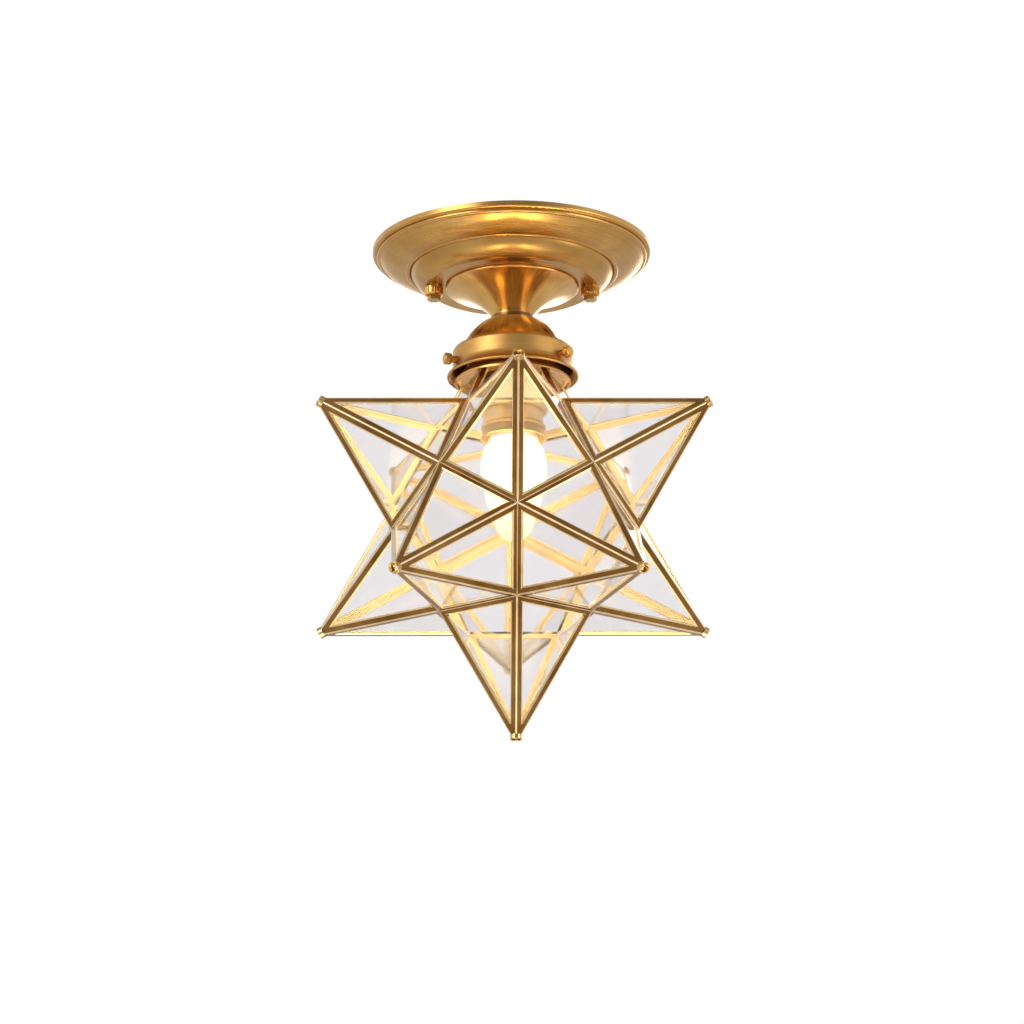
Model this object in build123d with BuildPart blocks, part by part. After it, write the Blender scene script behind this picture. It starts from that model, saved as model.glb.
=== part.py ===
from build123d import *
import math
import os

# Semi-flush ceiling light: a leaded glass star hung from a brass gallery under a stepped canopy.
# Millimetres, +Z up. The origin is the centre of the ceiling face, and the light hangs below it.
# The star is a small stellated dodecahedron, twelve five-sided glass spikes on one centre.
# Azimuths are measured from the front, -Y, towards +X.

# Canopy
canopy_radius = 76.4
canopy_depth = 21.3
canopy_sheet = 1.0
rim_height = 2.2
rim_round = 1.2
first_step_radius = 72.3
first_step_depth = 5.5
first_step_bulge = 1.5
second_step_radius = 55.9
second_step_depth = 12.4
second_step_bulge = 1.7
floor_radius = 45.8
rim_bead_width = 1.8
bead_width = 2.6
bead_bulge = 0.9

# Mounting bar and its screws
bar_length = 100.0
bar_width = 20.0
bar_sheet = 2.0
bar_corner = 3.0
bar_slot_spacing = 56.0
bar_slot_length = 12.0
bar_slot_width = 4.5
stud_spacing = 85.8
stud_radius = 2.0
stud_reach = 5.0
lock_nut_flats = 7.0
lock_nut_height = 3.2
ground_screw_x = 13.0
ground_screw_radius = 2.0
ground_head_radius = 3.6
ground_head_height = 2.2

# Cap nuts under the canopy
washer_radius = 4.5
washer_sheet = 0.8
nut_radius = 5.2
nut_barrel = 4.4
nut_round = 1.4
nut_tip_flats = 6.2
nut_tip_height = 2.5
nut_bore_spare = 1.0
nut_grooves = 24
groove_radius = 0.4

# Trumpet stem, collar and threaded tube
flange_radius = 36.8
flange_height = 1.5
flange_edge = 1.0
flare_curve = 2.6
stem_height = 17.8
stem_neck_radius = 11.4
stem_neck_height = 0.6
stem_sheet = 0.9
collar_radius = 11.7
collar_height = 1.4
tube_radius = 5.0
tube_bore_radius = 3.6
tube_rise = 6.6
tube_hang = 32.5
tube_thread_in_holder = 5.0
tube_nut_flats = 14.0
tube_nut_height = 3.0
tube_washer_radius = 9.0
tube_washer_sheet = 1.0

# Gallery: polished dome above a satin band with a flared lip
dome_radius = 30.1
dome_height = 17.7
dome_sheet = 1.0
band_radius = 32.7
band_height = 16.2
band_hole_radius = 22.0
band_round = 1.8
band_sheet = 1.0
lip_reach = 2.6
lip_flare = 6.9
lip_curve = 0.7
lip_roll = 1.7
lip_roll_bulge = 0.6

# Thumbscrews
screw_count = 3
screw_azimuth = -70.0
screw_level = 9.2
screw_radius = 2.0
screw_bush_radius = 3.2
screw_bush_length = 2.0
screw_head_radius = 3.25
screw_head_length = 4.0
screw_head_round = 1.0
screw_neck_length = 3.3
screw_grooves = 18
screw_tip_gap = 0.3
running_gap = 0.1

# Lampholder
holder_radius = 15.9
holder_sheet = 1.0
holder_boss_radius = 7.5
holder_boss_height = 4.0
holder_dome_height = 8.0
holder_dome_bulge = 1.6
holder_cap_height = 23.0
holder_ring_radius = 18.4
holder_ring_height = 3.0
holder_ring_edge = 1.2
holder_shell_height = 15.0
holder_bead_level = 7.5
holder_bead_width = 2.5
holder_bead_bulge = 1.3
holder_skirt_radius = 17.6
core_gap = 0.1
core_wall = 0.9
core_drop = 15.0
core_top_height = 5.0
core_length = 22.0
shell_gap = 0.05
shell_sheet = 0.4
contact_radius = 4.0
contact_sheet = 1.0
terminal_offset = 8.0
terminal_radius = 2.4
terminal_height = 2.5

# Bulb
bulb_radius = 17.2
bulb_neck_radius = 12.4
bulb_belly_drop = 14.0
bulb_body_arc = 90.0
bulb_length = 57.0
bulb_glass = 0.8
bulb_cap_gap = 0.3
bulb_cap_height = 17.5
bulb_cap_sheet = 0.4
bulb_cap_rings = 4
bulb_cap_ring_depth = 0.5
bulb_cap_slope = 2.0
bulb_cap_top_radius = 9.0
bulb_contact_radius = 4.5
bulb_contact_height = 1.0
bulb_insulator_height = 2.2
bulb_seat_gap = 0.3
stem_foot_radius = 11.4
stem_foot_height = 2.0
stem_post_radius = 3.0
stem_post_height = 34.0
filament_radius = 0.9
filament_offset = 6.0
filament_count = 4

# Wires and terminal block
wire_radius = 0.9
wire_spread = 1.3
wire_bend = 2.6
wire_level = 7.2
wire_rise = 2.3
wire_gather = 6.0
wire_approach = 8.0
wire_run_in = 4.0
wire_stop = 1.0
block_width = 16.0
block_depth = 12.0
block_height = 10.0
block_distance = 20.0
block_pitch = 8.0
block_hole_radius = 1.2
block_hole_depth = 7.0
block_screw_radius = 1.6
block_screw_set = 4.0
lug_sheet = 0.8
lug_radius = 8.0
small_lug_radius = 4.5
lug_tail_width = 3.0
lug_tail_length = 5.0
lug_lap = 2.0
ground_loop_x = 27.0
ground_bend = 5.5

# Star shade
tip_radius = 126.4
tip_cut = 5.2
tip_collar_radius = 3.2
tip_collar_bore_radius = 2.4
tip_collar_length = 2.6
tip_collar_round = 0.3
glass = 2.0
came_sheet = 0.8
ridge_leg = 4.0
valley_leg = 3.1
came_round = 0.5
pane_ridge_inset = 1.9
pane_valley_inset = 0.6
sleeve_gap = 3.45
sleeve_sheet = 0.8
sleeve_height = 14.5
plate_reach = 3.45
plate_sheet = 1.0
plate_hole_radius = 22.5
plate_gap = 1.8
plate_margin = 0.9

# Levels along the axis, from the ceiling face down
canopy_floor = -canopy_depth
canopy_inside = canopy_floor + canopy_sheet
neck_level = canopy_floor - stem_height
dome_top = neck_level - collar_height
band_top = dome_top - dome_height
lip_level = band_top - band_height
screw_z = band_top - screw_level
plate_top = lip_level - plate_gap
plate_under = plate_top - plate_sheet
tube_end = dome_top - tube_hang
holder_top = tube_end + tube_thread_in_holder
ring_top = holder_top - holder_cap_height
shell_top = ring_top - holder_ring_height
holder_mouth = shell_top - holder_shell_height
core_level = holder_top - core_drop
core_inside = core_level - core_top_height
terminal_top = core_level + terminal_height
bulb_top = core_inside - contact_sheet - bulb_seat_gap
bulb_cap_top = bulb_top - bulb_contact_height - bulb_insulator_height
bulb_base = bulb_cap_top - bulb_cap_height

# Radii that follow the gallery band
lip_radius = band_radius + lip_reach
sleeve_radius = band_radius - band_sheet - sleeve_gap
plate_radius = sleeve_radius + plate_reach

# Proportions of a star with five-cornered spikes on a regular dodecahedron
golden = (1 + math.sqrt(5)) / 2
corners = 5
turn = 360 / corners
half_turn = math.radians(turn / 2)
half_ridge = math.atan(golden)
apothem_share = 0.5 / math.tan(math.pi / corners)
base_angle = math.radians(turn)
slant_share = 0.5 * math.tan(base_angle)
height_share = math.sqrt(slant_share ** 2 - apothem_share ** 2)
face_share = math.sqrt((25 + 11 * math.sqrt(5)) / 10) / 2
edge = tip_radius / (face_share + height_share)
base_level = face_share * edge
base_radius = edge / 2 / math.sin(math.pi / corners)
ring_tilt = math.degrees(math.atan(0.5))
neck_rise = tip_radius - (plate_radius - plate_margin) * golden
star_centre = Vector(0, 0, plate_under - neck_rise)

hole_radius = tube_radius + running_gap
os.makedirs("parts", exist_ok=True)


def write(piece, name):
    """Label a finished piece and write its file."""
    piece.label = name
    export_step(piece, f"parts/{name}.step")


def write_group(solids, name):
    """Write pieces that stay separate solids in one file."""
    write(Compound(children=[piece.solid() for piece in solids]), name)


def hexagon_nut(plane, flats, height, bore):
    """Six-sided nut that grows along the plane's normal."""
    with BuildPart() as nut:
        with BuildSketch(plane):
            RegularPolygon(flats / 2, 6, major_radius=False)
            Circle(bore, mode=Mode.SUBTRACT)
        extrude(amount=height)
    return nut.part


def ring(top, outer, inner, height):
    """Flat ring below a level."""
    with BuildPart() as disc:
        with BuildSketch(Plane.XY.offset(top)):
            Circle(outer)
            Circle(inner, mode=Mode.SUBTRACT)
        extrude(amount=-height)
    return disc.part


def outward(azimuth):
    """Level direction at an azimuth from the front."""
    angle = math.radians(azimuth)
    return Vector(math.sin(angle), -math.cos(angle), 0)


# Mounting bar, flat against the ceiling
stud_places = [(-stud_spacing / 2, 0), (stud_spacing / 2, 0)]
slot_places = [(-bar_slot_spacing / 2, 0), (bar_slot_spacing / 2, 0)]
with BuildPart() as mounting_bar:
    with BuildSketch():
        RectangleRounded(bar_length, bar_width, bar_corner)
        Circle(hole_radius, mode=Mode.SUBTRACT)
        with Locations(*stud_places):
            Circle(stud_radius, mode=Mode.SUBTRACT)
        with Locations(*slot_places):
            SlotOverall(bar_slot_length, bar_slot_width, mode=Mode.SUBTRACT)
        with Locations((ground_screw_x, 0)):
            Circle(ground_screw_radius, mode=Mode.SUBTRACT)
    extrude(amount=-bar_sheet)
write(mounting_bar.part, "mounting_bar")

# Two studs that hang from the bar through the canopy
with BuildPart() as canopy_studs:
    with BuildSketch():
        with Locations(*stud_places):
            Circle(stud_radius)
    extrude(amount=-canopy_depth - stud_reach)
write(canopy_studs.part, "canopy_studs")

with BuildPart() as stud_lock_nuts:
    with BuildSketch(Plane.XY.offset(-bar_sheet)):
        with Locations(*stud_places):
            RegularPolygon(lock_nut_flats / 2, 6, major_radius=False)
            Circle(stud_radius, mode=Mode.SUBTRACT)
    extrude(amount=-lock_nut_height)
write(stud_lock_nuts.part, "stud_lock_nuts")

# Ground screw through the lug of the ground lead into the bar
ground_head_top = -bar_sheet - lug_sheet
with BuildPart() as ground_screw:
    with BuildSketch():
        with Locations((ground_screw_x, 0)):
            Circle(ground_screw_radius)
    extrude(amount=ground_head_top)
    with BuildSketch(Plane.XY.offset(ground_head_top)):
        with Locations((ground_screw_x, 0)):
            Circle(ground_head_radius)
    extrude(amount=-ground_head_height)
write(ground_screw.part, "ground_screw")

# Canopy: rim, bead and two rounded steps down to a flat floor
rim_foot = -rim_height - rim_round
first_bead_outer = (first_step_radius + rim_bead_width, rim_foot)
second_bead_outer = (second_step_radius + bead_width, -second_step_depth)
with BuildPart() as canopy:
    with BuildSketch(Plane.XZ):
        with BuildLine():
            Line((canopy_radius, 0), (canopy_radius, -rim_height))
            CenterArc((canopy_radius - rim_round, -rim_height), rim_round, 0, -90)
            Line((canopy_radius - rim_round, rim_foot), first_bead_outer)
            SagittaArc(first_bead_outer, (first_step_radius, -first_step_depth), bead_bulge)
            SagittaArc((first_step_radius, -first_step_depth), second_bead_outer, first_step_bulge)
            SagittaArc(second_bead_outer, (second_step_radius, -second_step_depth), bead_bulge)
            SagittaArc(
                (second_step_radius, -second_step_depth), (floor_radius, canopy_floor), second_step_bulge
            )
            Line((floor_radius, canopy_floor), (hole_radius, canopy_floor))
            offset(amount=canopy_sheet, side=Side.RIGHT)
        make_face()
    revolve(axis=Axis.Z)
    with Locations(*stud_places):
        Hole(stud_radius + running_gap)
write(canopy.part, "canopy")

# Trumpet stem: a rolled flange under the canopy and a flare down to a narrow neck
flange_face = canopy_floor - flange_height
flare_foot = neck_level + stem_neck_height
with BuildPart() as stem_trumpet:
    with BuildSketch(Plane.XZ):
        with BuildLine():
            SagittaArc(
                (flange_radius - flange_edge / 2, canopy_floor),
                (flange_radius - flange_edge, flange_face),
                flange_edge / 2,
            )
            SagittaArc(
                (flange_radius - flange_edge, flange_face), (stem_neck_radius, flare_foot), -flare_curve
            )
            Line((stem_neck_radius, flare_foot), (stem_neck_radius, neck_level))
            offset(amount=stem_sheet, side=Side.RIGHT)
        make_face()
    revolve(axis=Axis.Z)
write(stem_trumpet.part, "stem_trumpet")

write(ring(neck_level, collar_radius, hole_radius, collar_height), "neck_collar")

# Threaded tube that clamps canopy, stem, collar and gallery, with its washer and nuts
tube_top = canopy_floor + tube_rise
write(ring(tube_top, tube_radius, tube_bore_radius, tube_top - tube_end), "threaded_tube")
washer_top = canopy_inside + tube_washer_sheet
write(ring(washer_top, tube_washer_radius, hole_radius, tube_washer_sheet), "tube_washer")
lug_top = washer_top + lug_sheet
top_nut = hexagon_nut(Plane.XY.offset(lug_top), tube_nut_flats, tube_nut_height, tube_radius)
dome_inside = dome_top - dome_sheet
lower_nut_foot = dome_inside - tube_nut_height
low_nut = hexagon_nut(Plane.XY.offset(lower_nut_foot), tube_nut_flats, tube_nut_height, tube_radius)
write_group([top_nut, low_nut], "tube_nuts")

# Gallery dome, a spherical cap with a flat top for the collar
dome_centre = dome_top - math.sqrt(dome_radius ** 2 - collar_radius ** 2)
dome_foot_radius = math.sqrt(dome_radius ** 2 - (band_top - dome_centre) ** 2)
dome_start = math.degrees(math.acos(collar_radius / dome_radius))
with BuildPart() as gallery_dome:
    with BuildSketch(Plane.XZ):
        with BuildLine():
            Line((hole_radius, dome_top), (collar_radius, dome_top))
            CenterArc((0, dome_centre), dome_radius, dome_start, -dome_start)
            offset(amount=dome_sheet, side=Side.RIGHT)
        make_face()
    revolve(axis=Axis.Z)
    split(bisect_by=Plane.XY.offset(band_top), keep=Keep.TOP)
write(gallery_dome.part, "gallery_dome")

# Gallery band: a flange under the dome, a rounded edge, a straight wall and a flared, rolled lip
band_foot = lip_level + lip_flare
roll_top = lip_level + lip_roll
screw_planes = [
    Plane(origin=(0, 0, screw_z), x_dir=(0, 0, 1), z_dir=outward(screw_azimuth + 360 / screw_count * k))
    for k in range(screw_count)
]
with BuildPart() as gallery_band:
    with BuildSketch(Plane.XZ):
        with BuildLine():
            Line((band_hole_radius, band_top), (band_radius - band_round, band_top))
            CenterArc((band_radius - band_round, band_top - band_round), band_round, 90, -90)
            Line((band_radius, band_top - band_round), (band_radius, band_foot))
            SagittaArc((band_radius, band_foot), (lip_radius, roll_top), -lip_curve)
            SagittaArc((lip_radius, roll_top), (lip_radius, lip_level), lip_roll_bulge)
            offset(amount=band_sheet, side=Side.RIGHT)
        make_face()
    revolve(axis=Axis.Z)
    with BuildSketch(*screw_planes):
        Circle(screw_radius + running_gap)
    extrude(amount=band_radius + band_sheet, mode=Mode.SUBTRACT)
write(gallery_band.part, "gallery_band")

# Threaded bushes inside the band, seated as far out as the curved wall lets a flat end go
band_inside = band_radius - band_sheet
bush_end = math.sqrt(band_inside ** 2 - screw_bush_radius ** 2)
with BuildPart() as screw_bushes:
    with BuildSketch(*[plane.offset(bush_end - screw_bush_length) for plane in screw_planes]):
        Circle(screw_bush_radius)
        Circle(screw_radius + running_gap, mode=Mode.SUBTRACT)
    extrude(amount=screw_bush_length)
write(screw_bushes.part, "screw_bushes")

# Thumbscrews: a plain shank through the bush and a grooved head outside the band
screw_tip = sleeve_radius + screw_tip_gap
head_start = band_radius + screw_neck_length
for side, plane in zip(("left", "right", "back"), screw_planes):
    with BuildPart() as shank:
        with BuildSketch(plane.offset(screw_tip)):
            Circle(screw_radius)
        extrude(amount=head_start - screw_tip)
    write(shank.part, f"thumbscrew_{side}_shank")
    with BuildPart() as head:
        with BuildSketch(plane.offset(head_start)):
            Circle(screw_head_radius)
        extrude(amount=screw_head_length)
        fillet(head.edges().filter_by(GeomType.CIRCLE), screw_head_round)
        with BuildSketch(plane.offset(head_start)):
            with PolarLocations(screw_head_radius, screw_grooves):
                Circle(groove_radius)
        extrude(amount=screw_head_length, mode=Mode.SUBTRACT)
    write(head.part, f"thumbscrew_{side}_head")

# Washers and cap nuts: a grooved barrel, a hexagonal tip and a blind bore for the stud
nut_top = canopy_floor - washer_sheet
nut_bore_depth = stud_reach - washer_sheet + nut_bore_spare
for side, place in zip(("left", "right"), stud_places):
    with BuildPart() as washer:
        with BuildSketch(Plane.XY.offset(canopy_floor)):
            with Locations(place):
                Circle(washer_radius)
                Circle(stud_radius + running_gap, mode=Mode.SUBTRACT)
        extrude(amount=-washer_sheet)
    write(washer.part, f"cap_nut_{side}_washer")
    with BuildPart() as nut:
        with BuildSketch(Plane.XY.offset(nut_top)):
            with Locations(place):
                Circle(nut_radius)
        extrude(amount=-nut_barrel)
        fillet(nut.edges().filter_by(GeomType.CIRCLE).sort_by(Axis.Z)[0], nut_round)
        with BuildSketch(Plane.XY.offset(nut_top)):
            with Locations(place):
                with PolarLocations(nut_radius, nut_grooves):
                    Circle(groove_radius)
        extrude(amount=-nut_barrel, mode=Mode.SUBTRACT)
        with BuildSketch(Plane.XY.offset(nut_top - nut_barrel)):
            with Locations(place):
                RegularPolygon(nut_tip_flats / 2, 6, major_radius=False)
        extrude(amount=-nut_tip_height)
        with BuildSketch(Plane.XY.offset(nut_top)):
            with Locations(place):
                Circle(stud_radius + running_gap)
        extrude(amount=-nut_bore_depth, mode=Mode.SUBTRACT)
    write(nut.part, f"cap_nut_{side}")

# Lampholder cap: a threaded boss on the tube, a domed shoulder and a straight wall
dome_shoulder = holder_top - holder_boss_height
with BuildPart() as holder_cap:
    with BuildSketch(Plane.XZ):
        with BuildLine():
            Line((tube_radius, holder_top), (holder_boss_radius, holder_top))
            Line((holder_boss_radius, holder_top), (holder_boss_radius, dome_shoulder))
            SagittaArc(
                (holder_boss_radius, dome_shoulder),
                (holder_radius, dome_shoulder - holder_dome_height),
                holder_dome_bulge,
            )
            Line((holder_radius, dome_shoulder - holder_dome_height), (holder_radius, ring_top))
            offset(amount=holder_sheet, side=Side.RIGHT)
        make_face()
    revolve(axis=Axis.Z)
    with BuildSketch(Plane.XY.offset(holder_top)):
        Circle(holder_boss_radius - holder_sheet / 2)
        Circle(tube_radius, mode=Mode.SUBTRACT)
    extrude(amount=-holder_boss_height)
write(holder_cap.part, "holder_cap")

# Shade ring between the two halves of the lampholder
holder_inside = holder_radius - holder_sheet
with BuildPart() as holder_ring:
    with BuildSketch(Plane.XY.offset(ring_top)):
        Circle(holder_ring_radius)
        Circle(holder_inside, mode=Mode.SUBTRACT)
    extrude(amount=-holder_ring_height)
    fillet(holder_ring.edges().filter_by(GeomType.CIRCLE).group_by(SortBy.RADIUS)[-1], holder_ring_edge)
write(holder_ring.part, "holder_ring")

# Lower shell of the lampholder with a bead and a flared skirt
shell_bead = shell_top - holder_bead_level
shell_bead_foot = shell_bead - holder_bead_width
with BuildPart() as holder_shell:
    with BuildSketch(Plane.XZ):
        with BuildLine():
            Line((holder_radius, shell_top), (holder_radius, shell_bead))
            SagittaArc((holder_radius, shell_bead), (holder_radius, shell_bead_foot), holder_bead_bulge)
            Line((holder_radius, shell_bead_foot), (holder_skirt_radius, holder_mouth))
            offset(amount=holder_sheet, side=Side.RIGHT)
        make_face()
    revolve(axis=Axis.Z)
write(holder_shell.part, "holder_shell")

# Ceramic core with a blind bore, the screw shell in it and the centre contact
core_radius = holder_inside - core_gap
core_bore = core_radius - core_wall
with BuildPart() as holder_core:
    with BuildSketch(Plane.XY.offset(core_level)):
        Circle(core_radius)
    extrude(amount=-core_length)
    with BuildSketch(Plane.XY.offset(core_inside)):
        Circle(core_bore)
    extrude(amount=core_top_height - core_length, mode=Mode.SUBTRACT)
write(holder_core.part, "holder_core")

shell_outer = core_bore - shell_gap
shell_inner = shell_outer - shell_sheet
shell_length = core_length - core_top_height
write(ring(core_inside, shell_outer, shell_inner, shell_length), "holder_screw_shell")

with BuildPart() as holder_contact:
    with BuildSketch(Plane.XY.offset(core_inside)):
        Circle(contact_radius)
    extrude(amount=-contact_sheet)
write(holder_contact.part, "holder_contact")

terminal_places = [(-terminal_offset, 0), (terminal_offset, 0)]
with BuildPart() as holder_terminals:
    with BuildSketch(Plane.XY.offset(core_level)):
        with Locations(*terminal_places):
            Circle(terminal_radius)
    extrude(amount=terminal_height)
write(holder_terminals.part, "holder_terminals")

# Bulb: contact, insulator, ringed screw cap, glass envelope and filament stem
bulb_cap_radius = shell_inner - bulb_cap_gap
with BuildPart() as bulb_contact:
    with BuildSketch(Plane.XY.offset(bulb_top)):
        Circle(bulb_contact_radius)
    extrude(amount=-bulb_contact_height)
write(bulb_contact.part, "bulb_contact")

insulator_top = bulb_top - bulb_contact_height
with BuildPart() as bulb_insulator:
    with BuildSketch(Plane.XZ):
        with BuildLine():
            Polyline(
                (0, insulator_top),
                (bulb_contact_radius, insulator_top),
                (bulb_cap_top_radius, bulb_cap_top),
                (0, bulb_cap_top),
                close=True,
            )
        make_face()
    revolve(axis=Axis.Z)
write(bulb_insulator.part, "bulb_insulator")

thread_top = bulb_cap_top - bulb_cap_slope
thread_pitch = (bulb_cap_height - bulb_cap_slope) / bulb_cap_rings
thread_root = bulb_cap_radius - bulb_cap_ring_depth
with BuildPart() as bulb_cap:
    with BuildSketch(Plane.XZ):
        with BuildLine():
            Line((0, bulb_cap_top), (bulb_cap_top_radius, bulb_cap_top))
            Line((bulb_cap_top_radius, bulb_cap_top), (thread_root, thread_top))
            for k in range(bulb_cap_rings):
                SagittaArc(
                    (thread_root, thread_top - k * thread_pitch),
                    (thread_root, thread_top - (k + 1) * thread_pitch),
                    bulb_cap_ring_depth,
                )
            offset(amount=bulb_cap_sheet, side=Side.RIGHT)
        make_face()
    revolve(axis=Axis.Z)
write(bulb_cap.part, "bulb_cap")

# The envelope's shoulder, body and tip are arcs that run smoothly into each other
belly = bulb_base - bulb_belly_drop
belly_to_tip = bulb_length - bulb_belly_drop
neck_step = bulb_radius - bulb_neck_radius
shoulder_arc = (neck_step ** 2 + bulb_belly_drop ** 2) / (2 * neck_step)
body_centre = Vector(bulb_radius - bulb_body_arc, belly)
tip_arc = (bulb_body_arc ** 2 - body_centre.X ** 2 - belly_to_tip ** 2) / (2 * (bulb_body_arc - belly_to_tip))
tip_centre = Vector(0, bulb_base - bulb_length + tip_arc)
tip_join = body_centre + (tip_centre - body_centre).normalized() * bulb_body_arc
with BuildPart() as bulb_envelope:
    with BuildSketch(Plane.XZ):
        with BuildLine():
            RadiusArc((bulb_neck_radius, bulb_base), (bulb_radius, belly), shoulder_arc)
            RadiusArc((bulb_radius, belly), tip_join, bulb_body_arc)
            RadiusArc(tip_join, (0, bulb_base - bulb_length), tip_arc)
            offset(amount=bulb_glass, side=Side.RIGHT)
        make_face()
    revolve(axis=Axis.Z)
write(bulb_envelope.part, "bulb_envelope")

stem_top = bulb_base - stem_foot_height
with BuildPart() as bulb_stem:
    with BuildSketch(Plane.XY.offset(bulb_base)):
        Circle(stem_foot_radius)
    extrude(amount=-stem_foot_height)
    with BuildSketch(Plane.XY.offset(stem_top)):
        Circle(stem_post_radius)
        with PolarLocations(filament_offset, filament_count):
            Circle(filament_radius)
    extrude(amount=-stem_post_height)
write(bulb_stem.part, "bulb_stem")

# Terminal block on the canopy floor
block_top = canopy_inside + block_height
block_centre = block_distance + block_depth / 2
wire_height = canopy_inside + block_height / 2
block_columns = [-block_pitch / 2, block_pitch / 2]
block_screw_y = block_distance + block_screw_set
with BuildPart() as terminal_block:
    with BuildSketch(Plane.XY.offset(canopy_inside)):
        with Locations((0, block_centre)):
            Rectangle(block_width, block_depth)
    extrude(amount=block_height)
    with BuildSketch(Plane(origin=(0, block_distance, wire_height), x_dir=(1, 0, 0), z_dir=(0, 1, 0))):
        with Locations(*[(x, 0) for x in block_columns]):
            Circle(block_hole_radius)
    extrude(amount=block_hole_depth, mode=Mode.SUBTRACT)
    with BuildSketch(Plane.XY.offset(block_top)):
        with Locations(*[(x, block_screw_y) for x in block_columns]):
            Circle(block_screw_radius)
    extrude(amount=wire_height - block_top, mode=Mode.SUBTRACT)
write(terminal_block.part, "terminal_block")

with BuildPart() as block_screws:
    with BuildSketch(Plane.XY.offset(block_top)):
        with Locations(*[(x, block_screw_y) for x in block_columns]):
            Circle(block_screw_radius)
    extrude(amount=wire_height + wire_radius + running_gap - block_top)
write(block_screws.part, "block_screws")

# Two leads from the lampholder up the tube and across to the terminal block
for name, sign in (("lead_live", 1), ("lead_neutral", -1)):
    with BuildPart() as lead:
        with BuildLine() as route:
            FilletPolyline(
                (sign * terminal_offset, 0, terminal_top),
                (sign * terminal_offset, 0, terminal_top + wire_rise),
                (sign * wire_spread, 0, terminal_top + wire_gather),
                (sign * wire_spread, 0, -wire_level),
                (sign * block_pitch / 2, block_distance - wire_approach, -wire_level),
                (sign * block_pitch / 2, block_distance - wire_run_in, wire_height),
                (sign * block_pitch / 2, block_distance + block_hole_depth - wire_stop, wire_height),
                radius=wire_bend,
            )
        with BuildSketch(Plane(origin=route.wire() @ 0, z_dir=route.wire() % 0)):
            Circle(wire_radius)
        sweep()
    write(lead.part, name)

# Ground lead with a lug under the tube's top nut and one under the ground screw
lug_level = washer_top + lug_sheet / 2
ground_level = -bar_sheet - wire_radius - running_gap
small_lug_level = -bar_sheet - lug_sheet
with BuildPart() as lead_ground:
    with BuildSketch(Plane.XY.offset(washer_top)):
        Circle(lug_radius)
        Rectangle(lug_radius + lug_tail_length, lug_tail_width, align=(Align.MIN, Align.CENTER))
        Circle(hole_radius, mode=Mode.SUBTRACT)
    extrude(amount=lug_sheet)
    with BuildSketch(Plane.XY.offset(small_lug_level)):
        with Locations((ground_screw_x, 0)):
            Circle(small_lug_radius)
            Rectangle(small_lug_radius + lug_tail_length, lug_tail_width, align=(Align.MIN, Align.CENTER))
            Circle(ground_screw_radius + running_gap, mode=Mode.SUBTRACT)
    extrude(amount=lug_sheet)
    with BuildLine() as route:
        FilletPolyline(
            (lug_radius + lug_tail_length - lug_lap, 0, lug_level),
            (ground_loop_x, 0, lug_level),
            (ground_loop_x, 0, ground_level),
            (ground_screw_x + small_lug_radius + lug_tail_length - lug_lap, 0, ground_level),
            radius=ground_bend,
        )
    with BuildSketch(Plane(origin=route.wire() @ 0, z_dir=route.wire() % 0)):
        Circle(wire_radius)
    sweep()
write(lead_ground.part, "lead_ground")

# Sleeve of the star that the thumbscrews grip, and the plate that closes its cut top spike
with BuildPart() as shade_sleeve:
    with BuildSketch(Plane.XY.offset(plate_top)):
        Circle(sleeve_radius)
        Circle(sleeve_radius - sleeve_sheet, mode=Mode.SUBTRACT)
    extrude(amount=sleeve_height)
write(shade_sleeve.part, "shade_sleeve")
write(ring(plate_top, plate_radius, plate_hole_radius, plate_sheet), "neck_plate")


# One spike stands on the star's centre with its tip up +Z and a base corner above +X
def base_corner(k):
    """Corner k of the spike's base."""
    angle = math.radians(turn * k)
    return Vector(base_radius * math.cos(angle), base_radius * math.sin(angle), base_level)


def mitre(corner, along, other):
    """Plane through the star's centre halfway between two edges at a corner, facing the first."""
    normal = corner.cross(along.normalized() + other.normalized())
    if normal.dot(along) < 0:
        normal = normal * -1
    return Plane(origin=corner, z_dir=normal)


tip = Vector(0, 0, tip_radius)
first = base_corner(0)
second = base_corner(1)
along_edge = second - first
edge_middle = (first + second) * 0.5
up_face = tip - edge_middle
neck_plane = Plane.XY.offset(neck_rise)

# Pane of one spike face, inset from the ridges and from the valley
pane_half = edge / 2 - pane_ridge_inset / math.sin(base_angle)
pane_foot_half = pane_half - pane_valley_inset / math.tan(base_angle)
pane_top = pane_half * math.tan(base_angle)
face_plane = Plane(origin=edge_middle, x_dir=along_edge, z_dir=along_edge.cross(up_face))
with BuildPart() as pane:
    with BuildSketch(face_plane.offset(-came_sheet)):
        with BuildLine():
            Polyline(
                (-pane_foot_half, pane_valley_inset),
                (pane_foot_half, pane_valley_inset),
                (0, pane_top),
                close=True,
            )
        make_face()
    extrude(amount=-glass)

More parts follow.
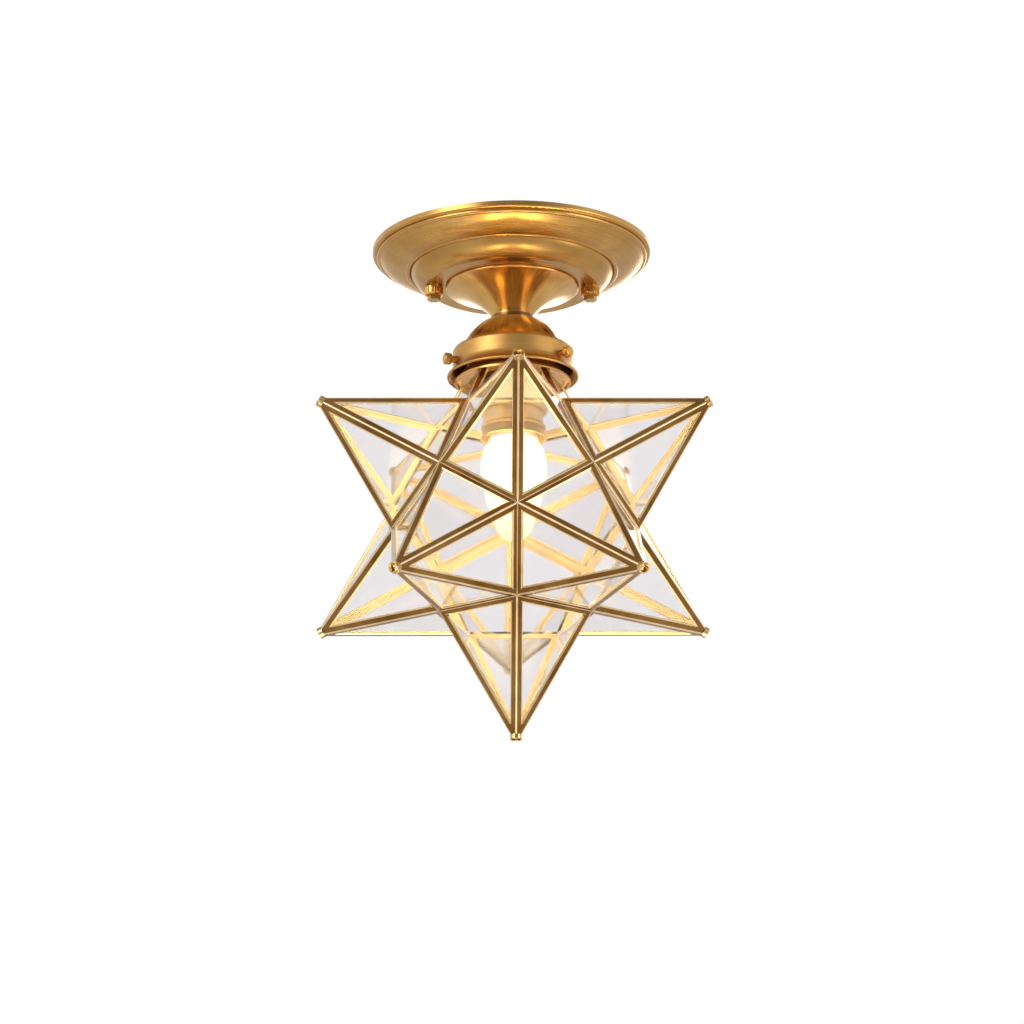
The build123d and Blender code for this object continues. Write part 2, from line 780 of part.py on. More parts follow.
# Ridge came: a bent strip over the edge between two faces, mitred at both ends
leg_across = ridge_leg * math.sin(half_ridge)
leg_down = ridge_leg * math.cos(half_ridge)
sheet_across = came_sheet * math.cos(half_ridge)
sheet_down = came_sheet * math.sin(half_ridge)
sheet_corner = came_sheet / math.sin(half_ridge)
up_ridge = tip - first
overrun = 2 * ridge_leg
ridge_plane = Plane(origin=first, x_dir=(0, 1, 0), z_dir=up_ridge).offset(-overrun)
tip_mitres = [
    Plane(origin=(0, 0, 0), z_dir=(math.sin(half_turn), sign * math.cos(half_turn), 0)) for sign in (-1, 1)
]
with BuildPart() as ridge_came:
    with BuildSketch(ridge_plane):
        with BuildLine():
            Polyline(
                (0, 0),
                (leg_across, leg_down),
                (leg_across - sheet_across, leg_down + sheet_down),
                (0, sheet_corner),
                (sheet_across - leg_across, leg_down + sheet_down),
                (-leg_across, leg_down),
                close=True,
            )
        make_face()
        fillet(vertices().sort_by(Axis.Y)[0], came_round)
    extrude(amount=up_ridge.length + 2 * overrun)
    for plane in tip_mitres:
        split(bisect_by=plane, keep=Keep.TOP)
    split(bisect_by=mitre(first, up_ridge, second - first), keep=Keep.TOP)
    split(bisect_by=mitre(first, up_ridge, base_corner(-1) - first), keep=Keep.TOP)
    split(bisect_by=Plane.XY.offset(tip_radius - tip_cut), keep=Keep.BOTTOM)

# Valley came: a bent strip in the groove between two spikes, mitred at both ends
across_valley = first.cross(second).normalized()
next_tip = tip - across_valley * (2 * tip.dot(across_valley))
valley_out = edge_middle.normalized()
valley_plane = Plane(origin=first, x_dir=valley_out.cross(along_edge), z_dir=along_edge).offset(-overrun)
valley_across = valley_leg * math.sin(half_ridge)
valley_down = valley_leg * math.cos(half_ridge)
with BuildPart() as valley_came:
    with BuildSketch(valley_plane):
        with BuildLine():
            Polyline(
                (0, 0),
                (valley_across, valley_down),
                (valley_across + sheet_across, valley_down - sheet_down),
                (0, -sheet_corner),
                (-valley_across - sheet_across, valley_down - sheet_down),
                (-valley_across, valley_down),
                close=True,
            )
        make_face()
    extrude(amount=edge + 2 * overrun)
    for peak in (tip, next_tip):
        split(bisect_by=mitre(first, along_edge, peak - first), keep=Keep.TOP)
        split(bisect_by=mitre(second, along_edge * -1, peak - second), keep=Keep.TOP)

# Short open collar soldered over the cut ends of a spike's ridge cames
with BuildPart() as tip_collar:
    with BuildSketch(Plane.XY.offset(tip_radius - tip_cut)):
        Circle(tip_collar_radius)
        Circle(tip_collar_bore_radius, mode=Mode.SUBTRACT)
    extrude(amount=tip_collar_length)
    fillet(tip_collar.faces().sort_by(Axis.Z)[-1].edges(), tip_collar_round)

# The cut top spike has shorter panes and ridge cames
with BuildPart() as cut_pane:
    add(pane.part)
    split(bisect_by=neck_plane, keep=Keep.BOTTOM)

with BuildPart() as cut_ridge_came:
    add(ridge_came.part)
    split(bisect_by=neck_plane, keep=Keep.BOTTOM)


def spike_plane(azimuth, tilt):
    """Frame of a spike: its tip along the normal, a base corner in the upright plane of its axis."""
    level = outward(azimuth)
    angle = math.radians(tilt)
    axis = level * math.cos(angle) + Vector(0, 0, math.sin(angle))
    towards_equator = level * math.sin(abs(angle)) - Vector(0, 0, math.copysign(math.cos(angle), tilt))
    return Plane(origin=star_centre, x_dir=towards_equator, z_dir=axis)


def around(piece, plane, steps):
    """Copies of a spike's piece at the given corners of a spike."""
    return [plane.location * (Rotation(0, 0, turn * k) * piece) for k in steps]


every_corner = range(corners)
top_plane = Plane(origin=star_centre, x_dir=outward(turn / 2), z_dir=(0, 0, 1))
bottom_plane = Plane(origin=star_centre, x_dir=outward(0), z_dir=(0, 0, -1))
upper_planes = [spike_plane(turn * k, ring_tilt) for k in every_corner]
lower_planes = [spike_plane(turn * (k + 0.5), -ring_tilt) for k in every_corner]

write_group(around(cut_pane.part, top_plane, every_corner), "panes_top_spike")
write_group(around(pane.part, bottom_plane, every_corner), "panes_bottom_spike")
for k in every_corner:
    write_group(around(pane.part, upper_planes[k], every_corner), f"panes_upper_spike_{k + 1}")
    write_group(around(pane.part, lower_planes[k], every_corner), f"panes_lower_spike_{k + 1}")

upper_ridges = []
lower_ridges = []
for plane in upper_planes:
    upper_ridges += around(ridge_came.part, plane, every_corner)
for plane in lower_planes:
    lower_ridges += around(ridge_came.part, plane, every_corner)
write_group(around(cut_ridge_came.part, top_plane, every_corner), "ridge_cames_top_spike")
write_group(upper_ridges, "ridge_cames_upper_spikes")
write_group(lower_ridges, "ridge_cames_lower_spikes")
write_group(around(ridge_came.part, bottom_plane, every_corner), "ridge_cames_bottom_spike")

# Valleys: five round each end spike, five between neighbours in each ring, ten between the rings
valleys = around(valley_came.part, top_plane, every_corner)
valleys += around(valley_came.part, bottom_plane, every_corner)
for plane in upper_planes:
    valleys += around(valley_came.part, plane, (0, 1, corners - 1))
for plane in lower_planes:
    valleys += around(valley_came.part, plane, (1,))
write_group(valleys, "valley_cames")

# Collars on the eleven whole spikes
whole_spikes = [bottom_plane] + upper_planes + lower_planes
write_group([plane.location * tip_collar.part for plane in whole_spikes], "spike_tip_collars")
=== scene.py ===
import math

import bmesh
import bpy
from mathutils import Matrix, Vector


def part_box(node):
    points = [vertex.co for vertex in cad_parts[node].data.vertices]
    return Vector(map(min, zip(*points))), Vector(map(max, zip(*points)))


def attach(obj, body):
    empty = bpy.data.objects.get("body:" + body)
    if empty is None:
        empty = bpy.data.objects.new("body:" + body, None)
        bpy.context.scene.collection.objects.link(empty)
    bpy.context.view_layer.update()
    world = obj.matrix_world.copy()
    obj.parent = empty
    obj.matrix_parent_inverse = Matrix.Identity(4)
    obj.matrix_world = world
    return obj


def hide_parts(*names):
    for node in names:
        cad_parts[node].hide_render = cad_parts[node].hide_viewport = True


# Looks of the semi-flush ceiling light: finishes, light and camera round the fixed frame.
# Metres, +Z up. The origin is the centre of the ceiling face, and the viewer stands towards -Y.

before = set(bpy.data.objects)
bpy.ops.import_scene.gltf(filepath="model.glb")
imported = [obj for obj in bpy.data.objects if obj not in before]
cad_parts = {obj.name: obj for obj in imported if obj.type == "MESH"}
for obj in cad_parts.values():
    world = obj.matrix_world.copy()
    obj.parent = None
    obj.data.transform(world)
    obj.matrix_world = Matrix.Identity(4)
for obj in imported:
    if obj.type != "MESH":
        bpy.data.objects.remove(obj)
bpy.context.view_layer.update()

# Camera, held below the star and looking up at it
CAMERA_DISTANCE = 2.505
CAMERA_BELOW = math.radians(17.4)
CAMERA_TURN = math.radians(1.58)
CAMERA_PITCH = math.radians(17.47)
CAMERA_ROLL = math.radians(0.5)
CAMERA_LENS = 163.1
CAMERA_SHIFT = -0.002
CAMERA_SENSOR = 36.0

# Studio
FLOOR_LEVEL = -2.4
FLOOR_SIZE = 60.0
FLOOR_COLOUR = (0.82, 0.82, 0.82)
FLOOR_SEEN = 0.42  # own light for the eye and through glass, which brings the floor near white
FLOOR_REFLECTED = 0.2  # own light in reflections
BACKGROUND = (1.0, 1.0, 1.0)
ROOM_STRENGTH = 0.55  # what the white room gives to surfaces
DARK_SIDE = 0.62  # how much darker metal sees the room behind the viewer
DARK_CEILING = 0.45  # and overhead
ROOM_FRONT = (-0.35, -0.8)
ROOM_ABOVE = (0.3, 0.7)

# Finishes, linear colours
BRASS_LIGHT = (0.64, 0.37, 0.115)
BRASS_DARK = (0.46, 0.235, 0.06)
TRUMPET_LIGHT = (0.90, 0.56, 0.19)
TRUMPET_DARK = (0.56, 0.28, 0.07)
SMALL_LIGHT = (0.80, 0.45, 0.11)
# Polished dome: brass whose dark fan streaks are a painted reflection
DOME_LIGHT = (0.78, 0.46, 0.14)
DOME_REFLECTION_DARK = (0.17, 0.075, 0.015)
CAME_LIGHT = (0.44, 0.22, 0.065)
CAME_DARK = (0.20, 0.085, 0.02)
# Painted highlight: pale brass for the cames' chamfered edges and crests, standing in for the light
# they catch
CAME_HIGHLIGHT_LIGHT = (0.92, 0.74, 0.46)
CAME_HIGHLIGHT_DARK = (0.74, 0.52, 0.25)
HOLDER_LIGHT = (0.86, 0.66, 0.34)
HOLDER_DARK = (0.66, 0.46, 0.20)
ZINC = (0.55, 0.56, 0.58)
COPPER = (0.72, 0.36, 0.20)
GREEN = (0.05, 0.30, 0.10)
BLACK_PLASTIC = (0.03, 0.03, 0.03)
WHITE_PLASTIC = (0.80, 0.80, 0.78)
BLOCK_NYLON = (0.78, 0.77, 0.72)
PORCELAIN = (0.80, 0.78, 0.73)
ALUMINIUM = (0.75, 0.75, 0.75)
BLACK_GLASS = (0.02, 0.02, 0.02)
# Painted light: the cames' inner side in a much lighter brass, as lit by the bulb
CAME_INNER_BULB_LIT = (0.86, 0.64, 0.30)
TIP_LIGHT = (0.74, 0.54, 0.28)
TIP_DARK = (0.50, 0.32, 0.13)
# Painted shade: the neck collar's brass, dark for the shade under the trumpet's neck
COLLAR_SHADE_LIGHT = (0.30, 0.16, 0.05)
COLLAR_SHADE_DARK = (0.16, 0.08, 0.02)
GLASS_TINT = (0.91, 0.895, 0.905)
GLASS_ROUGHNESS = 0.05
GLASS_IOR = 1.5
GLASS_WAVE = 0.00001
BULB_GLASS = (0.85, 0.70, 0.42)
BULB_IOR = 1.45
BULB_CLEAR = 0.02  # share of light that passes the frosted envelope
BULB_GLOW = (1.0, 0.80, 0.41)
BULB_STRENGTH = 1.85
BULB_TIP = 0.5  # strength at the tip, as a share
BULB_FADE = 0.4  # height over which it rises, as a share of the envelope
FILAMENT_STRENGTH = 12.0
BULB_LAMP_COLOUR = (1.0, 0.91, 0.66)
BULB_POWER = 0.62
BULB_LAMP_RADIUS = 0.014
GLOW_COLOUR = (1.0, 0.86, 0.52)
GLOW_POWER = 6.0
GLOW_PLACE = (0.0, -0.29, -0.95)
GLOW_AIM = (0.0, 0.0, -0.02)
GLOW_SIZE = 0.5
STUDIO_LAMPS = (
    ("key_lamp", (-1.7, -1.6, 0.3), 1.2, 26.0),
    ("fill_lamp", (1.9, -1.1, -0.2), 1.2, 16.0),
    ("back_lamp", (0.4, 1.9, 0.5), 1.4, 14.0),
)

SHADE_BODY = "shade_body"

# Grains of the metals: noise scale of the lines, and shares of lines and patches in the tone. On
# the dome the fan lines also carry a painted reflection.
GRAIN_SCALES = {"rings": 2000.0, "streaks": 26.0, "fans": 6.0, "patches": 160.0}
PATCH_SCALE = 34.0
LINE_SHARE = 0.35
PATCH_SHARE = 0.65
SMOOTHEST = 0.92
ROUGHEST = 1.1

# Chamfers and borders along the cames' long outer edges and crests, whose faces carry a painted
# highlight in pale brass
CAME_EDGE = 0.0005
CAME_BORDER = 0.00035
CREST_FACE = 0.0007
NARROW_FACE = 0.0015
INNER_SHIFT = 0.0001
LONG_EDGE = 0.008
SHARP_ANGLE = math.radians(60)
FLAT_ANGLE = math.radians(1)
MERGE_DISTANCE = 0.000002
# Finishes of a came's faces: outer legs, inner side, and painted highlight lines on edges and
# crests
OUTER, INNER, HIGHLIT = range(3)


def star_centre():
    """Centre of the star, from the cames in its valleys."""
    low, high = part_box("valley_cames")
    return (low + high) / 2


def new_material(name):
    """Empty node material with a principled shader, and its node tree's parts."""
    material = bpy.data.materials.new(name)
    material.use_nodes = True
    tree = material.node_tree
    shader = tree.nodes["Principled BSDF"]
    return material, tree, shader


def node(tree, kind, **settings):
    """New node of a kind with its properties set."""
    made = tree.nodes.new(kind)
    for key, value in settings.items():
        setattr(made, key, value)
    return made


def math_node(tree, operation, first, second=None):
    """Math node fed by sockets or numbers."""
    made = node(tree, "ShaderNodeMath", operation=operation)
    for socket, value in zip(made.inputs, (first, second)):
        if value is None:
            continue
        if hasattr(value, "is_linked"):
            tree.links.new(value, socket)
        else:
            socket.default_value = value
    return made.outputs[0]


def combine(tree, x, y, z):
    """Vector from three sockets or numbers."""
    made = node(tree, "ShaderNodeCombineXYZ")
    for socket, value in zip(made.inputs, (x, y, z)):
        if hasattr(value, "is_linked"):
            tree.links.new(value, socket)
        else:
            socket.default_value = value
    return made.outputs[0]


def place(tree):
    """X, Y and Z of a point on the piece, and its distance from the light's axis."""
    coordinates = node(tree, "ShaderNodeTexCoord")
    split = node(tree, "ShaderNodeSeparateXYZ")
    tree.links.new(coordinates.outputs["Object"], split.inputs[0])
    x, y, z = split.outputs
    x_square = math_node(tree, "MULTIPLY", x, x)
    y_square = math_node(tree, "MULTIPLY", y, y)
    radius = math_node(tree, "SQRT", math_node(tree, "ADD", x_square, y_square))
    return coordinates.outputs["Object"], x, y, z, radius


def ring_vector(tree, per_metre):
    """Coordinates in which noise makes rings round the axis, as a lathe leaves them."""
    _, _, _, z, radius = place(tree)
    return combine(
        tree,
        math_node(tree, "MULTIPLY", radius, per_metre),
        math_node(tree, "MULTIPLY", z, per_metre),
        0.0,
    )


def streak_vector(tree, per_turn, per_metre):
    """Coordinates in which noise makes streaks that run along the profile, away from the axis."""
    _, x, y, z, radius = place(tree)
    return combine(
        tree,
        math_node(tree, "MULTIPLY", math_node(tree, "DIVIDE", x, radius), per_turn),
        math_node(tree, "MULTIPLY", math_node(tree, "DIVIDE", y, radius), per_turn),
        math_node(tree, "MULTIPLY", z, per_metre),
    )


def plain_vector(tree, per_metre):
    """Plain coordinates of the piece, scaled."""
    made = node(tree, "ShaderNodeVectorMath", operation="SCALE")
    tree.links.new(place(tree)[0], made.inputs[0])
    made.inputs["Scale"].default_value = per_metre
    return made.outputs[0]


def noise(tree, vector, scale, detail=3.0):
    """Noise value between about 0 and 1."""
    made = node(tree, "ShaderNodeTexNoise")
    made.inputs["Scale"].default_value = scale
    made.inputs["Detail"].default_value = detail
    tree.links.new(vector, made.inputs["Vector"])
    return made.outputs["Fac"]


def spread(tree, value, low, high, to_low, to_high):
    """Value mapped from one range to another, clamped."""
    made = node(tree, "ShaderNodeMapRange")
    tree.links.new(value, made.inputs["Value"])
    numbers = {"From Min": low, "From Max": high, "To Min": to_low, "To Max": to_high}
    for name, number in numbers.items():
        made.inputs[name].default_value = number
    return made.outputs["Result"]


def two_tone(tree, value, dark, light):
    """Colour between dark and light."""
    made = node(tree, "ShaderNodeMix", data_type="RGBA")
    tree.links.new(value, made.inputs["Factor"])
    made.inputs["A"].default_value = (*dark, 1)
    made.inputs["B"].default_value = (*light, 1)
    return made.outputs["Result"]


def relief(tree, shader, height, depth):
    """Bump of a depth in metres."""
    made = node(tree, "ShaderNodeBump")
    made.inputs["Strength"].default_value = 1.0
    made.inputs["Distance"].default_value = depth
    tree.links.new(height, made.inputs["Height"])
    tree.links.new(made.outputs["Normal"], shader.inputs["Normal"])


def brushed_metal(name, grain, light, dark, roughness, depth, brushing=0.0, across=0.0):
    """Metal whose tone, roughness and relief follow one grain of fine lines over broad patches."""
    material, tree, shader = new_material(name)
    vectors = {
        "rings": lambda: ring_vector(tree, 1.0),
        "streaks": lambda: streak_vector(tree, 1.0, 6.0),
        "fans": lambda: streak_vector(tree, 1.0, 1.5),
        "patches": lambda: plain_vector(tree, 1.0),
    }
    lines = noise(tree, vectors[grain](), GRAIN_SCALES[grain], 4.0)
    patches = noise(tree, plain_vector(tree, 1.0), PATCH_SCALE, 4.0)
    fine = spread(tree, lines, 0.3, 0.7, 0.0, 1.0)
    broad = spread(tree, patches, 0.35, 0.65, 0.0, 1.0)
    fine_share = math_node(tree, "MULTIPLY", fine, LINE_SHARE)
    broad_share = math_node(tree, "MULTIPLY", broad, PATCH_SHARE)
    tone = math_node(tree, "ADD", fine_share, broad_share)
    tree.links.new(two_tone(tree, tone, dark, light), shader.inputs["Base Color"])
    uneven = spread(tree, fine, 0.0, 1.0, roughness * SMOOTHEST, roughness * ROUGHEST)
    tree.links.new(uneven, shader.inputs["Roughness"])
    shader.inputs["Metallic"].default_value = 1.0
    shader.inputs["Anisotropic"].default_value = brushing
    shader.inputs["Anisotropic Rotation"].default_value = across
    if brushing:
        tangent = node(tree, "ShaderNodeTangent", direction_type="RADIAL", axis="Z")
        tree.links.new(tangent.outputs[0], shader.inputs["Tangent"])
    relief(tree, shader, lines, depth)
    return material


def pane_glass():
    """Clear float glass with a faint grey-violet tint and a little waviness."""
    material, tree, shader = new_material("clear_pane_glass")
    shader.inputs["Base Color"].default_value = (*GLASS_TINT, 1)
    shader.inputs["Roughness"].default_value = GLASS_ROUGHNESS
    shader.inputs["IOR"].default_value = GLASS_IOR
    shader.inputs["Transmission Weight"].default_value = 1.0
    waves = noise(tree, plain_vector(tree, 1.0), 60.0, 2.0)
    relief(tree, shader, waves, GLASS_WAVE)
    return material


def lit_bulb_glass():
    """Bulb glass filled with light from the filaments."""
    material, tree, shader = new_material("lit_bulb_glass")
    shader.inputs["Base Color"].default_value = (*BULB_GLASS, 1)
    shader.inputs["Roughness"].default_value = 0.25
    shader.inputs["IOR"].default_value = BULB_IOR
    shader.inputs["Transmission Weight"].default_value = BULB_CLEAR
    shader.inputs["Emission Color"].default_value = (*BULB_GLOW, 1)
    low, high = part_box("bulb_envelope")
    height = place(tree)[3]
    fade = low.z + BULB_FADE * (high.z - low.z)
    glow = spread(tree, height, low.z, fade, BULB_STRENGTH * BULB_TIP, BULB_STRENGTH)
    tree.links.new(glow, shader.inputs["Emission Strength"])
    return material


def plain_surface(
    name, colour, roughness, metallic=0.0, scale=500.0, variation=0.12, depth=0.00001
):
    """Plastic, ceramic or plated steel with a fine mottle."""
    material, tree, shader = new_material(name)
    mottle = spread(tree, noise(tree, plain_vector(tree, 1.0), scale), 0.3, 0.7, 0.0, 1.0)
    darker = tuple(c * (1 - variation) for c in colour)
    tree.links.new(two_tone(tree, mottle, darker, colour), shader.inputs["Base Color"])
    shader.inputs["Roughness"].default_value = roughness
    shader.inputs["Metallic"].default_value = metallic
    relief(tree, shader, mottle, depth)
    return material


def glowing(name, colour, strength):
    """Filament that gives light."""
    material, tree, shader = new_material(name)
    shader.inputs["Base Color"].default_value = (*colour, 1)
    shader.inputs["Emission Color"].default_value = (*colour, 1)
    flicker = noise(tree, plain_vector(tree, 1.0), 300.0)
    uneven = spread(tree, flicker, 0.3, 0.7, strength * 0.8, strength)
    tree.links.new(uneven, shader.inputs["Emission Strength"])
    return material


def dress(names, material):
    """Give CAD nodes a material."""
    for name in names:
        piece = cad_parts[name]
        piece.data.materials.clear()
        piece.data.materials.append(material)


def nodes_like(*starts):
    """Names of the CAD nodes that start with any of these words."""
    return [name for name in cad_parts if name.startswith(starts)]


def face_width(face):
    """Width of a long narrow face: its area over its longest edge."""
    return face.calc_area() / max(edge.calc_length() for edge in face.edges)


def is_long(face):
    """Whether a face runs along a came."""
    return max(edge.calc_length() for edge in face.edges) > LONG_EDGE


def chamfer_cames(name, outer, inner, edge_highlight):
    """Copy of a group of cames whose chamfered edges and crests are painted as highlight lines, and
    whose inner side has a lighter finish painted as lit by the bulb.
    """
    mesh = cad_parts[name].data.copy()
    mesh.name = f"{name}_chamfered"
    shape = bmesh.new()
    shape.from_mesh(mesh)
    bmesh.ops.remove_doubles(shape, verts=shape.verts[:], dist=MERGE_DISTANCE)
    bmesh.ops.dissolve_limit(
        shape, angle_limit=FLAT_ANGLE, verts=shape.verts[:], edges=shape.edges[:]
    )
    shape.normal_update()
    centre = star_centre()
    faces_out = {
        face: face.normal.dot(face.calc_center_median() - centre) > 0 for face in shape.faces
    }
    narrow = {face: face_width(face) < NARROW_FACE for face in shape.faces}
    outer_edges = []
    for edge in shape.edges:
        if edge.calc_length() < LONG_EDGE or not edge.is_manifold:
            continue
        if abs(edge.calc_face_angle()) < SHARP_ANGLE:
            continue
        meets_leg = any(faces_out[face] and not narrow[face] for face in edge.link_faces)
        if meets_leg and any(narrow[face] for face in edge.link_faces):
            outer_edges.append(edge)
    shifts = {}
    # Narrow crests, and the bevels and borders cut below, take the painted highlight
    for face in shape.faces:
        crest = is_long(face) and faces_out[face] and face_width(face) < CREST_FACE
        face.material_index = HIGHLIT if crest else (OUTER if faces_out[face] else INNER)
        face.smooth = False
        if not faces_out[face] and not narrow[face]:
            for corner in face.verts:
                shifts[corner] = shifts.get(corner, Vector()) + face.normal * INNER_SHIFT
    for corner, shift in shifts.items():
        corner.co += shift
    bmesh.ops.bevel(
        shape, geom=outer_edges, offset=CAME_EDGE, offset_type="OFFSET", segments=1,
        profile=0.5, affect="EDGES", clamp_overlap=True, material=HIGHLIT,
    )
    legs = [
        face for face in shape.faces
        if face.material_index == OUTER and face_width(face) > NARROW_FACE
    ]
    borders = bmesh.ops.inset_individual(
        shape, faces=legs, thickness=CAME_BORDER, use_even_offset=True
    )
    for face in borders["faces"]:
        if face not in legs and is_long(face):
            face.material_index = HIGHLIT
    mesh.materials.clear()
    for material in (outer, inner, edge_highlight):
        mesh.materials.append(material)
    shape.to_mesh(mesh)
    shape.free()
    piece = bpy.data.objects.new(f"{name}_chamfered", mesh)
    bpy.context.scene.collection.objects.link(piece)
    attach(piece, SHADE_BODY)
    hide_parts(name)


def dress_all():
    """Finish of every CAD node."""
    lathe_brass = brushed_metal(
        "lathe_brass", "rings", BRASS_LIGHT, BRASS_DARK, 0.26, 0.0000004, 0.35
    )
    streaked_brass = brushed_metal(
        "streaked_brass", "streaks", TRUMPET_LIGHT, TRUMPET_DARK, 0.22, 0.000004, 0.55, 0.25
    )
    # The dome's dark fan streaks are brushing grain with a painted reflection in their tone
    polished = brushed_metal(
        "polished_brass", "fans", DOME_LIGHT, DOME_REFLECTION_DARK, 0.14, 0.000002, 0.7, 0.25
    )
    small_brass = brushed_metal(
        "small_brass", "patches", SMALL_LIGHT, BRASS_DARK, 0.1, 0.0000006
    )
    came = brushed_metal("came_brass", "patches", CAME_LIGHT, CAME_DARK, 0.16, 0.0000008)
    # Painted light: a lighter, less metallic copy of the came brass on the side the bulb lights
    inner = plain_surface("came_inner_bulb_lit", CAME_INNER_BULB_LIT, 0.45, 0.45, 90.0, 0.2, 0.000001)
    # Painted highlight: pale brass lines along the cames' edges and crests
    edge_highlight = brushed_metal(
        "came_edge_highlight", "patches", CAME_HIGHLIGHT_LIGHT, CAME_HIGHLIGHT_DARK, 0.3, 0.0000008
    )
    tips = brushed_metal("tip_collar_brass", "patches", TIP_LIGHT, TIP_DARK, 0.22, 0.0000008)
    band_brass = brushed_metal("band_brass", "rings", BRASS_LIGHT, BRASS_DARK, 0.4, 0.000001, 0.35)
    # Painted shade: the neck collar in dark brass where shade falls under the trumpet
    collar_painted_shade = brushed_metal("collar_painted_shade", "rings", COLLAR_SHADE_LIGHT, COLLAR_SHADE_DARK, 0.3, 0.000001)
    holder = brushed_metal("holder_bronze", "rings", HOLDER_LIGHT, HOLDER_DARK, 0.3, 0.000004)
    zinc = plain_surface("zinc_plate", ZINC, 0.35, 1.0)
    dress(["canopy", "shade_sleeve", "neck_plate"], lathe_brass)
    dress(["gallery_band"], band_brass)
    dress(["stem_trumpet"], streaked_brass)
    dress(["gallery_dome"], polished)
    dress(["neck_collar"], collar_painted_shade)
    dress(nodes_like("cap_nut", "thumbscrew") + ["screw_bushes"], small_brass)
    dress(nodes_like("ridge_cames", "valley_cames"), came)
    dress(["spike_tip_collars"], tips)
    for name in nodes_like("ridge_cames", "valley_cames"):
        chamfer_cames(name, came, inner, edge_highlight)
    dress(nodes_like("panes"), pane_glass())
    dress(["holder_cap", "holder_ring", "holder_shell"], holder)
    dress(["mounting_bar", "canopy_studs", "stud_lock_nuts", "block_screws", "threaded_tube"], zinc)
    dress(["tube_washer", "tube_nuts"], zinc)
    dress(["ground_screw"], plain_surface("green_screw", GREEN, 0.35, 0.6))
    dress(["lead_ground"], plain_surface("bare_copper", COPPER, 0.3, 1.0))
    dress(["lead_live"], plain_surface("black_insulation", BLACK_PLASTIC, 0.45))
    dress(["lead_neutral"], plain_surface("white_insulation", WHITE_PLASTIC, 0.45))
    dress(["terminal_block"], plain_surface("block_nylon", BLOCK_NYLON, 0.4))
    dress(["holder_core"], plain_surface("porcelain", PORCELAIN, 0.3))
    aluminium = plain_surface("pressed_aluminium", ALUMINIUM, 0.3, 1.0)
    dress(["holder_screw_shell", "bulb_cap"], aluminium)
    dress(["holder_contact", "holder_terminals", "bulb_contact"], small_brass)
    dress(["bulb_insulator"], plain_surface("black_glass", BLACK_GLASS, 0.15))
    dress(["bulb_envelope"], lit_bulb_glass())
    dress(["bulb_stem"], glowing("lit_filaments", BULB_GLOW, FILAMENT_STRENGTH))
    for name in nodes_like("panes", "bulb_envelope", "bulb_stem"):
        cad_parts[name].visible_shadow = False


def area_lamp(name, place_at, aim, size, power, colour=(1, 1, 1)):
    """Soft square lamp aimed at a point."""
    data = bpy.data.lights.new(name, "AREA")
    data.size = size
    data.energy = power
    data.color = colour
    lamp = bpy.data.objects.new(name, data)
    lamp.location = place_at
    lamp.rotation_euler = (Vector(aim) - Vector(place_at)).to_track_quat("-Z", "Y").to_euler()
    lamp.visible_transmission = False
    bpy.context.scene.collection.objects.link(lamp)
    return lamp


def make_lamps():
    """Large soft lamps round the light, a warm one under the star and one in the bulb."""
    centre = star_centre()
    for name, place_at, size, power in STUDIO_LAMPS:
        area_lamp(name, place_at, centre, size, power)
    glow = area_lamp("glow_lamp", GLOW_PLACE, GLOW_AIM, GLOW_SIZE, GLOW_POWER, GLOW_COLOUR)
    glow.visible_camera = False
    low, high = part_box("bulb_envelope")
    data = bpy.data.lights.new("filament_lamp", "POINT")
    data.energy = BULB_POWER
    data.color = BULB_LAMP_COLOUR
    data.shadow_soft_size = BULB_LAMP_RADIUS
    lamp = bpy.data.objects.new("filament_lamp", data)
    lamp.location = (low + high) / 2
    bpy.context.scene.collection.objects.link(lamp)


def make_world():
    """White background for the eye, glass and metal, and a softer light for everything else."""
    world = bpy.data.worlds.new("studio_world")
    world.use_nodes = True
    tree = world.node_tree
    tree.nodes.clear()
    seen = node(tree, "ShaderNodeBackground")
    seen.inputs["Color"].default_value = (*BACKGROUND, 1)
    soft = node(tree, "ShaderNodeBackground")
    soft.inputs["Color"].default_value = (*BACKGROUND, 1)
    soft.inputs["Strength"].default_value = ROOM_STRENGTH
    rays = node(tree, "ShaderNodeLightPath")
    direction = node(tree, "ShaderNodeSeparateXYZ")
    tree.links.new(node(tree, "ShaderNodeTexCoord").outputs["Generated"], direction.inputs[0])
    front = spread(tree, direction.outputs["Y"], *ROOM_FRONT, 0.0, DARK_SIDE)
    above = spread(tree, direction.outputs["Z"], *ROOM_ABOVE, 0.0, DARK_CEILING)
    darkest = math_node(tree, "MAXIMUM", front, above)
    shade = math_node(tree, "MULTIPLY", rays.outputs["Is Glossy Ray"], darkest)
    tree.links.new(math_node(tree, "SUBTRACT", 1.0, shade), seen.inputs["Strength"])
    both = math_node(tree, "MAXIMUM", rays.outputs["Is Camera Ray"], rays.outputs["Is Glossy Ray"])
    shown = math_node(tree, "MAXIMUM", both, rays.outputs["Is Transmission Ray"])
    mixed = node(tree, "ShaderNodeMixShader")
    output = node(tree, "ShaderNodeOutputWorld")
    tree.links.new(shown, mixed.inputs[0])
    tree.links.new(soft.outputs[0], mixed.inputs[1])
    tree.links.new(seen.outputs[0], mixed.inputs[2])
    tree.links.new(mixed.outputs[0], output.inputs["Surface"])
    bpy.context.scene.world = world


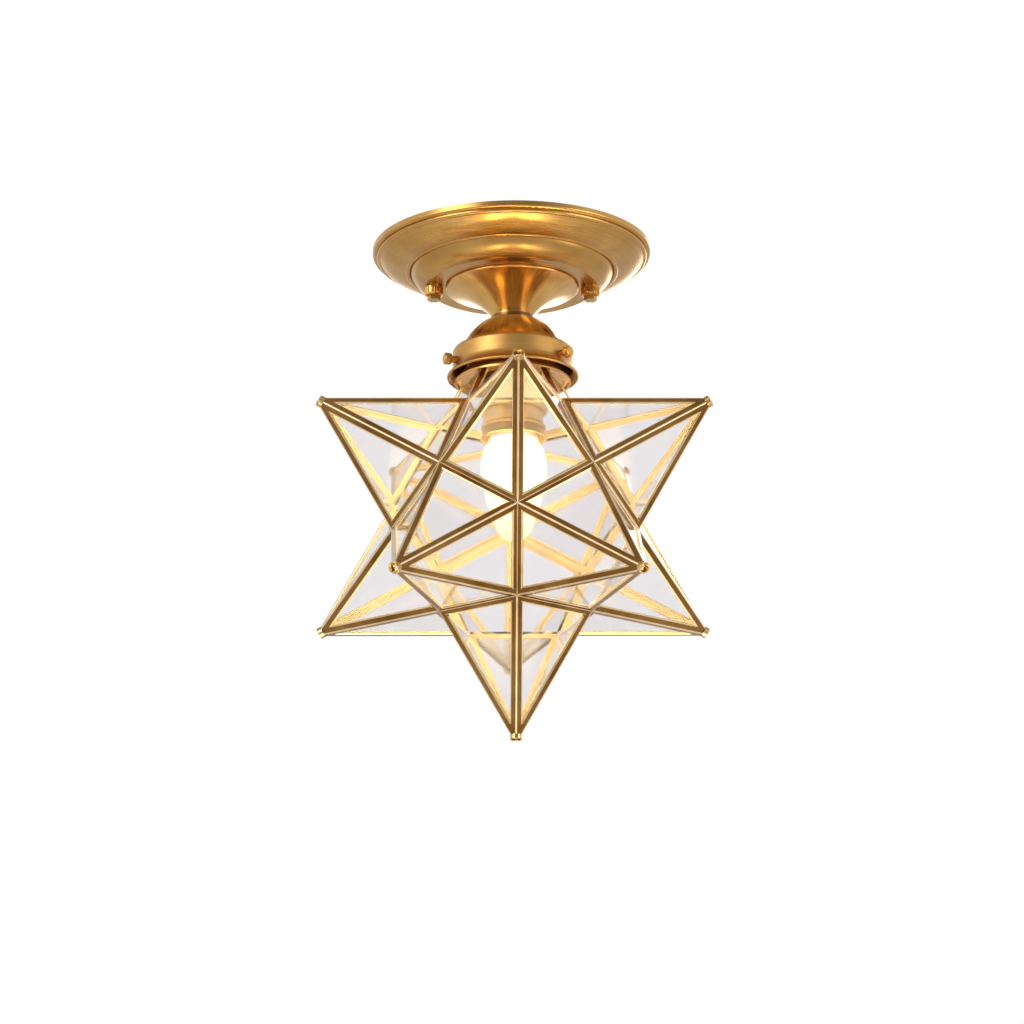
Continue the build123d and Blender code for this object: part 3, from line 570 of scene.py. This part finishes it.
def make_floor():
    """Plain pale floor of the room under the light."""
    half = FLOOR_SIZE / 2
    mesh = bpy.data.meshes.new("studio_floor")
    corners = [(half * x, half * y, FLOOR_LEVEL) for x, y in ((-1, -1), (1, -1), (1, 1), (-1, 1))]
    mesh.from_pydata(corners, [], [(0, 1, 2, 3)])
    floor = bpy.data.objects.new("studio_floor", mesh)
    bpy.context.scene.collection.objects.link(floor)
    pale = plain_surface("pale_floor", FLOOR_COLOUR, 0.9, 0.0, 3.0, 0.03)
    tree = pale.node_tree
    shader = tree.nodes["Principled BSDF"]
    rays = node(tree, "ShaderNodeLightPath")
    straight, through, glossy = (
        rays.outputs[f"Is {kind} Ray"] for kind in ("Camera", "Transmission", "Glossy")
    )
    seen = math_node(tree, "MULTIPLY", math_node(tree, "MAXIMUM", straight, through), FLOOR_SEEN)
    reflected = math_node(tree, "MULTIPLY", glossy, FLOOR_REFLECTED)
    shader.inputs["Emission Color"].default_value = (1, 1, 1, 1)
    own_light = math_node(tree, "MAXIMUM", seen, reflected)
    tree.links.new(own_light, shader.inputs["Emission Strength"])
    floor.data.materials.append(pale)


def make_camera():
    """Camera at the photograph's place."""
    centre = star_centre()
    level = CAMERA_DISTANCE * math.cos(CAMERA_BELOW)
    spot = Vector((
        -level * math.sin(CAMERA_TURN),
        -level * math.cos(CAMERA_TURN),
        centre.z - CAMERA_DISTANCE * math.sin(CAMERA_BELOW),
    ))
    data = bpy.data.cameras.new("photo_camera")
    data.lens = CAMERA_LENS
    data.sensor_width = CAMERA_SENSOR
    data.shift_x = CAMERA_SHIFT
    camera = bpy.data.objects.new("photo_camera", data)
    turn = Matrix.Rotation(-CAMERA_TURN, 4, "Z")
    pitch = Matrix.Rotation(math.pi / 2 + CAMERA_PITCH, 4, "X")
    roll = Matrix.Rotation(-CAMERA_ROLL, 4, "Z")
    camera.matrix_world = Matrix.Translation(spot) @ turn @ pitch @ roll
    bpy.context.scene.collection.objects.link(camera)
    bpy.context.scene.camera = camera


make_camera()
make_world()
make_lamps()
make_floor()
dress_all()

bpy.context.scene.view_settings.view_transform = "Standard"
